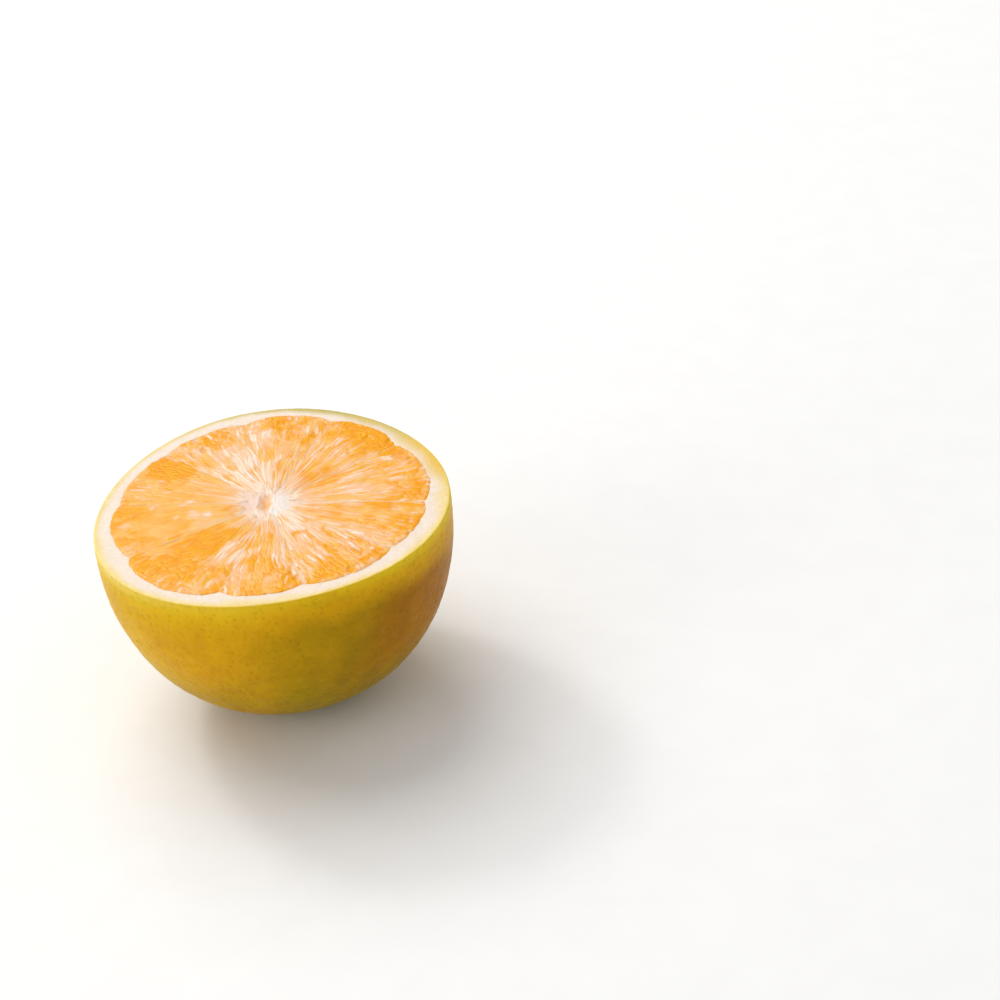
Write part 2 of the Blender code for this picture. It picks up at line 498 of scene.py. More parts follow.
def pith_material():
    """The cut rind: skin at the edge, yellow oil layer, then spongy cream white."""
    s = Shader(
        "pith",
        IOR=1.40,
        Specular_IOR_Level=0.30,
        Subsurface_Weight=0.20,
        Subsurface_Scale=0.0008,
        Subsurface_Radius=(1.0, 0.75, 0.5),
    )
    skin, place, mottle, speck = skin_colours(s)
    inset = s.value("inset")
    band = s.value("band")
    wave = s.math("MULTIPLY_ADD", s.noise(place, 700.0, 3.0, 0.6), 0.7, -0.35)
    sponge = s.noise(place, 1100.0, 3.0, 0.65)
    white = s.mix(s.ramp(sponge, 0.3, 0.7), (0.88, 0.735, 0.60), (0.925, 0.80, 0.69))
    yellow = s.mix(s.ramp(mottle, 0.3, 0.7), (0.89, 0.68, 0.27), (0.93, 0.76, 0.37))
    yellow = s.mix(s.math("MULTIPLY", s.value("leaf"), 0.75), yellow, (0.42, 0.35, 0.025))
    yellow = s.mix(s.value("right"), yellow, (0.84, 0.51, 0.055))
    oil = s.ramp(s.voronoi(place, 900.0), 0.12, 0.42)
    yellow = s.mix(s.math("MULTIPLY_ADD", oil, -0.28, 0.28), yellow, (0.78, 0.54, 0.04))
    share = s.math("DIVIDE", s.math("ADD", inset, wave), band)
    colour = s.mix(s.ramp(share, 0.15, 2.1), yellow, white)
    uneven = s.math("ADD", inset, s.math("MULTIPLY", wave, 0.7))
    colour = s.mix(s.ramp(uneven, -0.05, 0.62), skin, colour)
    near = s.value("near")
    colour = s.mix(s.math("MULTIPLY", near, 0.60), colour, (0.93, 0.58, 0.28))
    rough = s.math("MULTIPLY_ADD", sponge, 0.20, 0.42)
    height = s.math("MULTIPLY_ADD", speck, 0.5, sponge)
    return s.done(colour, rough, s.bump(height, 0.00012))


def flesh_material(name, glow):
    s = Shader(
        name,
        IOR=1.36,
        Specular_IOR_Level=0.20,
        Coat_Weight=0.26,
        Coat_Roughness=0.07,
        Coat_IOR=1.36,
        Subsurface_Weight=glow,
        Subsurface_Scale=0.0007,
        Subsurface_Radius=(1.0, 0.40, 0.12),
    )
    pale, amber = s.value("pale"), s.value("amber")
    along = s.vector(s.value("across"), s.value("along"), s.value("number"))
    thread = s.noise(along, 3.6, 3.0, 0.6, 0.1)
    place = s.place()
    dapple = s.noise(place, 420.0, 3.0, 0.6)
    light = s.mix(s.ramp(dapple, 0.3, 0.7), (0.93, 0.45, 0.080), (0.95, 0.52, 0.135))
    deep = s.mix(s.ramp(dapple, 0.3, 0.7), (0.92, 0.34, 0.001), (0.94, 0.41, 0.003))
    peach = s.mix(s.ramp(dapple, 0.3, 0.7), (0.93, 0.53, 0.29), (0.94, 0.59, 0.37))
    a = s.math("MULTIPLY_ADD", thread, 0.30, s.math("ADD", amber, -0.15))
    colour = s.mix(s.ramp(a, 0.28, 0.95), light, deep)
    p = s.math("MULTIPLY_ADD", thread, -0.24, s.math("ADD", pale, 0.12))
    colour = s.mix(s.ramp(p, 0.08, 0.58, 0.0, 0.92), colour, peach)
    # The palest colour is the sacs' white skins and also painted wet glints.
    colour = s.mix(s.ramp(p, 0.50, 1.05, 0.0, 0.95), colour, (0.95, 0.77, 0.61))
    rough = s.math("MULTIPLY_ADD", pale, 0.14, 0.20)
    height = s.math("MULTIPLY_ADD", thread, 0.6, s.math("MULTIPLY", dapple, 0.5))
    return s.done(colour, rough, s.bump(height, 0.00009))


def core_material():
    s = Shader(
        "core",
        IOR=1.38,
        Coat_Weight=0.15,
        Coat_Roughness=0.2,
        Subsurface_Weight=0.20,
        Subsurface_Scale=0.0006,
        Subsurface_Radius=(1.0, 0.7, 0.45),
    )
    along = s.vector(s.value("across"), s.value("along"), 3.0)
    thread = s.noise(along, 2.6, 3.0, 0.6, 0.3)
    place = s.place()
    sponge = s.noise(place, 1300.0, 3.0, 0.6)
    white = s.mix(s.ramp(sponge, 0.3, 0.7), (0.89, 0.75, 0.64), (0.93, 0.83, 0.76))
    cream = s.mix(s.ramp(thread, 0.35, 0.65), (0.92, 0.56, 0.36), (0.93, 0.70, 0.54))
    colour = s.mix(s.value("white"), cream, white)
    colour = s.mix(s.math("MULTIPLY", s.value("rosy"), 0.85), colour, (0.88, 0.64, 0.53))
    colour = s.mix(s.value("flush"), colour, (0.95, 0.50, 0.22))
    rough = s.math("MULTIPLY_ADD", sponge, 0.2, 0.32)
    height = s.math("MULTIPLY_ADD", thread, 1.0, sponge)
    return s.done(colour, rough, s.bump(height, 0.00012))


# ------------------------------------------------------------------ outline of the flesh
WALLS = np.radians([row[0] for row in SEGMENTS])
WALLS = np.where(WALLS < WALLS[0] - 1e-9, WALLS + TAU, WALLS)  # rising from the first wall
WALLS = np.append(WALLS, WALLS[0] + TAU)
AT_WALL = np.array([row[1] for row in SEGMENTS] + [SEGMENTS[0][1]])
IN_MIDDLE = np.array([row[2] for row in SEGMENTS])


def flesh_edge(index, part, angle):
    """Radius of the flesh's edge in a segment; part runs from 0 at one wall to 1."""
    base = AT_WALL[index] + (AT_WALL[index + 1] - AT_WALL[index]) * part
    mean = (AT_WALL[index] + AT_WALL[index + 1]) / 2
    bulge = (IN_MIDDLE[index] - mean) * (1 - np.abs(2 * part - 1) ** 3.5)
    x, y = 33 * np.cos(angle), 33 * np.sin(angle)
    return base + bulge + 0.22 * noise(x / 2.3, y / 2.3, 0, 41) + 0.12 * noise(x, y, 0, 42)


def which_segment(angle):
    """The segment at each angle and the part of it that lies before the angle."""
    turned = (angle - WALLS[0]) % TAU + WALLS[0]
    index = np.clip(np.searchsorted(WALLS, turned, "right") - 1, 0, COUNT - 1)
    part = (turned - WALLS[index]) / (WALLS[index + 1] - WALLS[index])
    return index, part


def edge_at(angle):
    index, part = which_segment(angle)
    return flesh_edge(index, part, angle)


def band_at(angle):
    """Thickness of the yellow layer of the rind, seen on the cut, by direction."""
    degrees = np.degrees(angle) % 360
    marks = ((22, 2.5), (60, 1.8), (112, 1.0), (150, 0.8), (172, 1.2), (205, 1.25), (245, 1.0), (272, 1.6), (300, 1.0), (335, 1.3))
    at = np.array([m[0] for m in marks] + [marks[0][0] + 360], float)
    size = np.array([m[1] for m in marks] + [marks[0][1]])
    d = (degrees - at[0]) % 360 + at[0]
    i = np.clip(np.searchsorted(at, d, "right") - 1, 0, len(marks) - 1)
    t = smooth((d - at[i]) / (at[i + 1] - at[i]))
    return size[i] + (size[i + 1] - size[i]) * t


def top_level(x, y):
    """The knife's cut through the rind is nearly flat, with a slow wave in it."""
    return 0.10 * cloud(x / 14, y / 14, 0, 51) + 0.045 * cloud(x / 1.3, y / 1.3, 0, 55)


# ------------------------------------------------------------------ rind
def skin_values(x, y, z):
    """How dull green, dark orange, leaf green and yellow-green the skin is at each point, over plain gold.
    The dull green and dark orange on the right front are painted shade, the yellow-green rim band is
    partly painted light, and the cream at the left rim is a painted highlight.
    """
    angle = np.degrees(np.arctan2(y, x)) + 13 * cloud(x / 16, y / 16, z / 16, 57, 2)
    under = -z
    low = under + 3 * cloud(x / 10, y / 10, z / 10, 58, 2) * smooth(under / 5)

    def lobe(at, reach):
        return np.exp(-((((angle - at + 180) % 360 - 180) / reach) ** 2))

    patchy = cloud(x / 20, y / 20, z / 20, 61, 3)
    other = cloud(x / 17, y / 17, z / 17, 65, 3)
    deep = smooth((low - 0.4) / 12)
    # Painted shade: the lobes at 272, 302 and 332 degrees, on the right front, darken the skin where less
    # light falls.
    olive = (0.95 * lobe(302, 28) + 0.7 * lobe(125, 32)) * deep * (1 - 0.35 * smooth((under - 14) / 14))
    olive = olive + 0.20 * lobe(272, 16) * deep + 0.55 * smooth((under - 14) / 17) + 0.25 * patchy
    brown = (0.90 * lobe(332, 36) + 0.30 * lobe(60, 34)) * deep * smooth((44 - low) / 28)
    brown = brown + 0.14 * other
    behind = smooth(0.5 + 0.9 * np.sin(np.radians(angle - 8)))
    leaf = (0.85 * lobe(72, 36) + 0.2 * behind) * np.exp(-((under / 4.0) ** 2))
    dabs = 0.42 * lobe(236, 11) + 0.38 * lobe(288, 18)
    leaf = leaf + dabs * (1 + 0.6 * other) * np.exp(-(((under - 2.2) / 1.7) ** 2))
    leaf = leaf + 0.55 * smooth((under - 38) / 8)
    leaf = leaf + 0.42 * smooth((patchy - 0.05) / 0.6) * behind
    # The yellow-green band under the rim is partly painted light: brighter where the rim tilts to the
    # light, and reaching further down at the left front.
    reach = 2.1 + 2.6 * lobe(252, 22)
    lime = 0.95 * np.exp(-((np.maximum(under, 0) / reach) ** 1.3)) * (1 - 0.8 * lobe(72, 36))
    lime = lime * (1 - 0.30 * lobe(282, 14))
    # The lobe at 213 degrees is a painted highlight on the lit left side.
    lime = lime * (1 + 0.3 * other) + 0.30 * lobe(213, 26) * smooth((40 - under) / 14)
    right = 0.8 * lobe(25, 24)
    # Painted highlight: a pale edge on the left rim, where the light falls.
    cream = 0.60 * lobe(203, 34) * np.exp(-((np.maximum(under, 0) / 1.5) ** 2))
    clip = [np.clip(v, 0, 1) for v in (olive, brown, leaf, lime, right, cream)]
    return dict(zip(("olive", "brown", "leaf", "lime", "right", "cream"), clip))


def side_profile(count):
    """Radius and depth of the side, from just under the rim to the foot."""
    start = -math.asin(((WIDEST_AT - 0.25) / HALF_DEPTH) ** (FULLNESS / 2))
    end = math.asin(((FOOT_AT - WIDEST_AT) / HALF_DEPTH) ** (FULLNESS / 2))
    turn = np.linspace(start, end, 4000)
    under = WIDEST_AT + HALF_DEPTH * np.sign(turn) * np.abs(np.sin(turn)) ** (
        2 / FULLNESS
    )
    share = np.abs(under - WIDEST_AT) / HALF_DEPTH
    radius = WIDEST * (1 - share**FULLNESS) ** (1 / FULLNESS)
    step = np.hypot(np.diff(radius), np.diff(under))
    length = np.concatenate([[0], np.cumsum(step)])
    at = np.linspace(0, length[-1], count)
    return np.interp(at, length, radius), np.interp(at, length, under), at


def make_rind(material):
    rows = 160
    radius, under, along = side_profile(rows)
    columns = 640
    angle = np.arange(columns) * TAU / columns
    # Rings further down have fewer points, so that the faces stay about the same size.
    counts = np.where(radius > 17.5, columns, np.where(radius > 8.6, columns // 2, columns // 4))
    shape = Body()
    rings = []
    grid_r = outline(radius[:, None], angle[None, :])
    grid = np.stack(
        [grid_r * np.cos(angle), grid_r * np.sin(angle), -np.repeat(under[:, None], columns, 1)],
        2,
    )
    down = np.gradient(grid, axis=0)
    round_ = np.roll(grid, -1, 1) - np.roll(grid, 1, 1)
    normal = np.cross(down, round_)
    normal /= np.linalg.norm(normal, axis=2, keepdims=True)
    flat = grid.reshape(-1, 3)
    x, y, z = grid[..., 0], grid[..., 1], grid[..., 2]
    away, number = pores(flat, 1.25, 71)
    size = 0.27 + 0.15 * number
    pore = np.exp(-((away / size) ** 2)).reshape(rows, columns)
    pore = pore * smooth(0.75 + cloud(x / 9, y / 9, z / 9, 75, 2))
    lumps = 0.16 * cloud(x / 12, y / 12, z / 12, 81, 2)
    pebble = 0.055 * noise(x / 1.5, y / 1.5, z / 1.5, 85) + 0.03 * noise(
        x / 0.8, y / 0.8, z / 0.8, 86
    )
    fade = smooth((along - 0.2) / 1.6)[:, None]
    foot = smooth((along[-1] - along) / 3.0)[:, None]
    rise = (lumps * fade + (pebble - 0.20 * pore) * smooth(along / 1.1)[:, None]) * foot
    grid = grid + normal * rise[..., None]
    values = skin_values(x, y, z)
    total = along[-1] + FOOT
    for row in range(rows):
        step = columns // counts[row]
        pick = slice(None, None, step)
        share = 0.06 + 0.94 * (total - along[row]) / total
        uv = 0.5 + 0.485 * share * np.stack([np.cos(angle), np.sin(angle)], 1)
        here = {key: value[row, pick] for key, value in values.items()}
        rings.append(shape.add(grid[row, pick], uv[pick], pore=pore[row, pick], **here))
    # The flat spot, with the small scar of the flower's end in its middle.
    last = columns // counts[-1]
    for k, r in enumerate((6.2, 5.2, 4.2, 3.3, 2.5, 1.8, 1.2, 0.6)):
        a = angle[::last]
        ring = outline(r, a)
        share = 0.06 + 0.94 * r / total
        uv = 0.5 + 0.485 * share * np.stack([np.cos(a), np.sin(a)], 1)
        dent = 0.35 * smooth(1 - r / 2.6)
        points = np.stack([ring * np.cos(a), ring * np.sin(a), np.full(len(a), dent - FOOT_AT)], 1)
        rings.append(
            shape.add(
                points,
                uv,
                scar=float(smooth(1.25 - r / 2.4)),
                **skin_values(*points.T),
            )
        )
    centre = shape.add(
        np.array([[0, 0, 0.42 - FOOT_AT]]), np.array([[0.5, 0.5]]), leaf=0.6, scar=1.0
    )
    for a, b in zip(rings[:-1], rings[1:]):
        shape.sew(a, b)
    shape.fan(rings[-1], centre[0])
    # Inner side of the skin, coarse because it is never seen. It tucks in under the cut.
    hidden = np.array([[0.07, 0.07]])
    previous, spots = rings[0], circle(columns, 0.07, 0.07, 0.060)
    for k, (r, z) in enumerate(
        ((RIM - 0.35, -0.6), (RIM - 1.6, -1.6), (RIM - 1.8, -4.0), (RIM - 1.8, -8.0))
    ):
        count = columns if k == 0 else count // 2
        a = np.arange(count) * TAU / count
        ring = outline(r, a)
        points = np.stack([ring * np.cos(a), ring * np.sin(a), np.full(count, z)], 1)
        numbers = shape.add(points, np.repeat(hidden, count, 0))
        next_spots = circle(count, 0.07, 0.07, 0.056 - 0.004 * k)
        shape.sew(previous, numbers, flip=True, places=(spots, next_spots))
        previous, spots = numbers, next_spots
    for k in range(1, 11):
        at = int(rows * (0.18 + 0.075 * k)) if k < 10 else rows - 1
        at = min(at, rows - 1)
        a = np.arange(count) * TAU / count
        ring = outline(max(radius[at] - 1.8, 2.0), a)
        z = -(under[at] - (0.0 if k < 5 else 1.8 * (k - 4) / 6))
        points = np.stack([ring * np.cos(a), ring * np.sin(a), np.full(count, z)], 1)
        numbers = shape.add(points, np.repeat(hidden, count, 0))
        next_spots = circle(count, 0.07, 0.07, 0.044 - 0.004 * k)
        shape.sew(previous, numbers, flip=True, places=(spots, next_spots))
        previous, spots = numbers, next_spots
    tip = shape.add(np.array([[0, 0, 2.0 - FOOT_AT]]), hidden)
    shape.fan(previous, tip[0], flip=True, places=(spots, complex(0.07, 0.07)))
    return shape.make("rind", material)


# ------------------------------------------------------------------ pith ring on the cut
def make_pith(material):
    columns = 1280
    angle = np.arange(columns) * TAU / columns
    cos, sin = np.cos(angle), np.sin(angle)
    edge = edge_at(angle)
    rim = outline(RIM, angle)
    skin = skin_values(rim * cos, rim * sin, np.full(columns, -0.3))
    shape = Body()

    def ring(r, z, **values):
        share = 0.485 * r / 38.6
        uv = np.stack([0.5 + share * cos, 0.5 + share * sin], 1)
        return shape.add(np.stack([r * cos, r * sin, np.broadcast_to(z, r.shape)], 1), uv, **values)

    rows = [ring(edge - 1.5, -1.8, inset=4.0, band=1.0, near=1.0)]
    rows.append(ring(edge - 0.75, -0.75, inset=4.0, band=1.0, near=1.0))
    band = band_at(angle) * (1 + 0.22 * noise(angle * 9, angle * 0, 0, 91))
    for r, drop, near in ((edge - 0.3, -0.30, 1.0), (edge + 0.05, -0.08, 0.55)):
        rows.append(
            ring(r, top_level(r * cos, r * sin) + drop, inset=rim - r, band=band, near=near)
        )
    steps = 22
    for k in range(1, steps + 1):
        r = edge + 0.05 + (rim - 0.28 - edge - 0.05) * k / steps
        from_flesh = r - edge
        x, y = r * cos, r * sin
        near = 0.35 * np.exp(-from_flesh / 0.35)
        z = top_level(x, y) + 0.05 * np.exp(-from_flesh / 0.5)
        rows.append(ring(r, z, inset=rim - r, band=band, near=near, **skin))
    x, y = rim * cos, rim * sin
    level = top_level(x, y)
    for inset, drop, keep in (
        (0.15, -0.025, 1.0),
        (0.05, -0.09, 0.7),
        (0.0, -0.20, 0.4),
        (0.03, -0.36, 0.1),
        (0.14, -0.55, 0.0),
    ):
        rows.append(ring(rim - inset, level * keep + drop, inset=max(inset, 0.0), band=band, **skin))
    outer = rows[-1]
    for a, b in zip(rows[:-1], rows[1:]):
        shape.sew(a, b)
    # Underside, never seen: back in under the skin and up to the first ring.
    spots = circle(columns, 0.5, 0.5, 0.34)
    for k, (r, z) in enumerate(((rim - 1.0, -1.2), (rim - 1.2, -4.0), (edge - 1.5, -4.0))):
        points = np.stack([r * cos, r * sin, np.full(columns, z)], 1)
        under = shape.add(points, np.full((columns, 2), 0.5), inset=2.0, band=1.0)
        next_spots = circle(columns, 0.5, 0.5, 0.26 - 0.08 * k)
        shape.sew(outer, under, places=(spots, next_spots))
        outer, spots = under, next_spots
    shape.sew(outer, rows[0], places=(spots, circle(columns, 0.5, 0.5, 0.04)))
    return shape.make("pith", material)


# ------------------------------------------------------------------ flesh
def juice_sacs(index, x, y, r, angle, part):
    """Relief, paleness and depth of colour of the cut juice sacs in one segment; part of the paleness is
    painted wet glints.
    """
    seed = 200 + 20 * index

    def shared(column):
        """A value of the segment, drawn towards its neighbours' values near the walls."""
        own, before, after = (SEGMENTS[(index + n) % COUNT][column] for n in (0, -1, 1))
        a, b = (0.5 * (1 - smooth(away / 0.45)) for away in (part, 1 - part))
        return own * (1 - a - b) + before * a + after * b

    smoothness, paleness, amberness = shared(3), shared(4), shared(5)
    middle = (WALLS[index] + WALLS[index + 1]) / 2
    # Sacs lie along the segment: thin near the core, wider and shorter towards the rind.
    bend = 0.42 * noise(x / 6.5, y / 6.5, index, seed) + 0.13 * noise(x / 2.1, y / 2.1, index, seed + 1)
    s = (angle - middle) * 8.6 * r**0.27 + bend + 40.5 + 7 * index
    t = -np.log(6.2 - 0.135 * r) / 0.135 + 0.5 * noise(x / 3.1, y / 3.1, index, seed + 2)
    wide = r**0.73 / 8.6  # width of a sac, mm
    share = np.clip(r / 33, 0, 1)
    more_pale, more_amber = patches_at(x, y)
    patch = cloud(x / 6, y / 6, index, seed + 5, 2)
    calm = np.clip(smoothness + 0.6 * patch * (1 - smoothness), 0, 1) * smooth((r - 8) / 7)
    paleness = np.clip(paleness + more_pale, 0, 1)

    edge, across, along, (n1, n2, n3, n4) = cells(s, t, seed + 3)
    edge2, across2, along2, (m1, m2, m3, m4) = cells(s * 2.1 + 5, t * 1.2 + 3, seed + 4)
    _, across3, along3, (k1, k2, k3, k4) = cells(s * 1.25 + 2, t * 0.62 + 7, seed + 6)
    pillow = 1 - (1 - np.clip(edge / 0.34, 0, 1)) ** 2
    small = 1 - (1 - np.clip(edge2 / 0.30, 0, 1)) ** 2
    pit = smooth((n2 - 0.93) / 0.05) * pillow
    threads = noise(s * 3.1, t * 0.8, index, seed + 8)
    height = (0.04 + 0.06 * share) * (pillow - 0.8)
    height += (0.02 + 0.045 * share) * (n1 - 0.5) * smooth(edge / 0.2)
    height += 0.035 * (small - 0.6) + 0.03 * (m1 - 0.5) * smooth(edge2 / 0.2)
    height -= 0.26 * pit * (0.3 + share)
    height *= 1 - 0.80 * calm
    height += 0.008 * threads

    # Pale skins of the sacs: long strokes, shorter and finer ones, and lines between sacs. The shorter and
    # finer strokes are partly painted wet glints, shown even where a segment is not pale.
    def strokes(number, u, v, slim, many):
        chosen = smooth((number - (1 - many)) / 0.14)
        return chosen * np.exp(-((u / slim) ** 2) - (np.abs(v) / 0.52) ** 4)

    veil = 0.5 + 0.5 * noise(x / 2.6, y / 2.6, index, seed + 10)
    long = strokes(k1, across3 + 0.2 * (k3 - 0.5), along3, 0.25, 0.02 + 0.52 * paleness) * (0.6 + 0.4 * k2)
    short = strokes(n3, across + 0.25 * (n4 - 0.5), along, 0.27, 0.05 + 0.40 * paleness)
    fine = strokes(m3, across2, along2, 0.32, 0.09 + 0.30 * paleness)
    line = np.exp(-((edge * wide / 0.17) ** 2)) * veil * (0.12 + 0.9 * paleness)
    haze = smooth(0.5 + 1.1 * cloud(s * 0.42, t * 0.62, index, seed + 13, 2))
    inner = np.exp(-(((r - 3.2) / 5.2) ** 2)) * (0.70 + 0.4 * threads)
    pale = 0.85 * long + 0.70 * short * (0.5 + 0.5 * veil) + 0.40 * fine + 0.42 * line
    pale = pale + 0.62 * haze * paleness
    pale = pale * (1 - 0.72 * calm) + 0.46 * inner + 0.06 * threads + 0.10 * (paleness - 0.3)
    # Painted wet highlights: the pale patches show as bright dots in the smooth segments.
    pale = pale + (0.35 + 0.25 * threads + 0.3 * fine) * np.clip(more_pale - 0.2, 0, 1) * smoothness
    height += 0.02 * np.clip(long + short, 0, 1) * (1 - calm)
    blobs = 0.55 * noise(s * 0.55, t * 0.95, index, seed + 11) + 0.30 * patch
    amber = amberness + more_amber + blobs * (1 - 0.5 * calm)
    amber += (0.80 * (n4 - 0.5) + 0.45 * (m4 - 0.5)) * (1 - 0.8 * calm)
    amber += 0.22 * smooth((r - 23) / 8) + 0.5 * pit
    pale = pale * (1 - 0.75 * smooth((more_amber - 0.15) / 0.5))
    amber = np.clip(amber, 0, 1.3) * smooth((r - 3) / 6)
    return height, np.clip(pale, 0, 1.15), amber, s, t, calm


def make_segment(index, material):
    columns, rows = 128, 150
    first, last = WALLS[index], WALLS[index + 1]
    u = np.linspace(0, 1, columns + 1)
    v = np.linspace(0, 1, rows + 1)[:, None]
    rough_angle = first + (last - first) * u
    edge = flesh_edge(index, u, rough_angle) + 0.30
    tip = core_reach(rough_angle) + 0.8 * np.abs(2 * u - 1) ** 3
    tip = tip + 0.6 * noise(u * 4, 0.3, index, 121) + 0.3 * noise(u * 11, 0.3, index, 122)
    radius = tip + (edge - tip) * v**0.96
    margin = 0.05 + 0.40 * np.exp(-(radius - 4.0) / 2.4)  # half the gap at a wall, mm
    turn = margin / radius
    angle = first + turn + (last - first - 2 * turn) * u
    # Walls wander a little, as membranes do.
    sway = 0.010 * noise(radius / 7, 0.0, 0.0, 131 + index) * (1 - u) + 0.010 * noise(
        radius / 7, 0.0, 0.0, 131 + (index + 1) % COUNT
    ) * u
    angle = angle + sway * smooth((radius - 5) / 6)
    x, y = radius * np.cos(angle), radius * np.sin(angle)
    height, pale, amber, s, t, calm = juice_sacs(index, x, y, radius, angle, u)
    width = (last - first) * radius
    from_wall = np.minimum(u, 1 - u) * width
    from_edge = edge - radius
    from_tip = radius - tip

    def rounded(away, size, deep):
        return -deep * (1 - np.clip(away / size, 0, 1)) ** 2

    z = 0.05 + 0.16 * (1 - (2 * u - 1) ** 2) * smooth(radius / 14) + height
    z = z + rounded(from_wall, 0.6, 0.035) + rounded(from_edge, 0.7, 0.27)
    z = z + rounded(from_tip, 1.6, 0.20)
    z = z + 0.10 * cloud(x / 9, y / 9, 0, 141, 2)
    fray = np.clip(0.55 + 0.75 * noise(s * 1.9, radius / 2.6, index, 124), 0, 1)
    pale = pale + 0.85 * fray * np.exp(-((np.maximum(from_tip, 0) / 1.9) ** 2))
    ragged = 0.5 + 0.5 * noise(radius / 1.9, u * 0, index, 123)
    pale = pale + 0.40 * ragged * np.exp(-((from_wall / 0.30) ** 2)) * smooth((radius - 4) / 5)
    amber = amber + 0.25 * np.exp(-from_edge / 0.9) * (1 - np.clip(pale, 0, 1))
    shape = Body()
    grid = np.stack([x, y, z], 2)
    # On the map the segment lies along u, stretched to fill both sides of the square.
    middle = (first + last) / 2
    out = x * math.cos(middle) + y * math.sin(middle)
    side = y * math.cos(middle) - x * math.sin(middle)
    maps = np.stack(
        [0.02 + 0.96 * (way - way.min()) / (way.max() - way.min()) for way in (out, side)], 2
    )
    lines = [
        shape.add(
            grid[k],
            maps[k],
            pale=pale[k],
            amber=amber[k],
            across=s[k],
            along=t[k],
            number=float(index),
        )
        for k in range(rows + 1)
    ]
    numbers = np.stack(lines)
    for a, b in zip(lines[:-1], lines[1:]):
        shape.sew(a, b, wrap=False)
    loop = np.concatenate(
        [numbers[0, :-1], numbers[:-1, -1], numbers[-1, :0:-1], numbers[:0:-1, 0]]
    )
    around = np.concatenate([grid[0, :-1], grid[:-1, -1], grid[-1, :0:-1], grid[:0:-1, 0]])
    centre = around.mean(0)
    below = around.copy()
    below[:, 2] = -7.0
    inward = centre - below
    inward[:, 2] = 0
    below += 0.04 * inward
    hidden = np.full((len(loop), 2), 0.09)
    skirt = shape.add(below, hidden, amber=0.6, number=float(index))
    bottom = shape.add(np.array([[centre[0], centre[1], -15.0]]), hidden[:1], amber=0.6)
    outer, inner = (circle(len(loop), 0.09, 0.09, radius) for radius in (0.07, 0.04))
    shape.sew(skirt, loop, places=(inner, outer))
    shape.fan(skirt[::-1], bottom[0], places=(inner[::-1], complex(0.09, 0.09)))
    shape.make(f"segment_{index + 1:02d}", material)
    return (radius[:, 0], z[:, 0]), (radius[:, -1], z[:, -1])


def make_walls(material, sides):
    """Thin skins between the segments, standing on edge and level with the flesh."""
    shape = Body()
    steps = 150
    half = ((0.27, -5.0), (0.25, -0.8), (0.20, -0.12), (0.13, -0.035), (0.06, -0.008))
    section = (*((-a, z) for a, z in half), (0.0, 0.0), *reversed(half))
    for index in range(COUNT):
        wall = WALLS[index]
        end = AT_WALL[index] + 0.2
        radius = np.linspace(3.6, end, steps)
        sway = 0.010 * noise(radius / 7, 0.0, 0.0, 131 + index) * smooth((radius - 5) / 6)
        angle = wall + sway
        one, two = sides[index][0], sides[index - 1][1]
        beside = np.maximum(np.interp(radius, *one), np.interp(radius, *two))
        level = beside + 0.012 + 0.022 * noise(radius / 1.4, index * 3.7, 0, 151)
        level = level - 0.15 * smooth((6.5 - radius) / 2.5)
        show = 0.5 + 0.6 * noise(radius / 4.5, index * 5.3, 0, 152)
        lines, strips = [], []
        for k in range(steps):
            c, s = math.cos(angle[k]), math.sin(angle[k])
            grow = 1 + 1.1 * math.exp(-(radius[k] - 4) / 2.2)
            points = np.array(
                [
                    (radius[k] * c - s * side * grow, radius[k] * s + c * side * grow, level[k] + z)
                    for side, z in section
                ]
            )
            spots = 0.02 + 0.96 * k / (steps - 1) + 1j * (
                index + 0.1 + 0.8 * np.arange(len(section) + 1) / len(section)
            ) / COUNT
            calm = (SEGMENTS[index][3] + SEGMENTS[index - 1][3]) / 2
            pale = (0.30 + 0.45 * show[k]) * (1 - 0.9 * calm) + 0.5 * math.exp(-(radius[k] - 4) / 5)
            lines.append(
                shape.add(
                    points,
                    np.full((len(section), 2), 0.5),
                    pale=pale,
                    amber=0.45,
                    across=np.array([p[0] * 3 for p in section]),
                    along=radius[k] / 3 + 9 * index,
                    number=30.0,
                )
            )
            strips.append(spots)
        for k in range(steps - 1):
            shape.sew(lines[k], lines[k + 1], places=(strips[k], strips[k + 1]))
        for ring, u, flip in ((lines[0], 0.01, True), (lines[-1], 0.99, False)):
            shape.cap(ring, circle(len(ring), u, (index + 0.5) / COUNT, 0.008), flip)
    return shape.make("membranes", material)


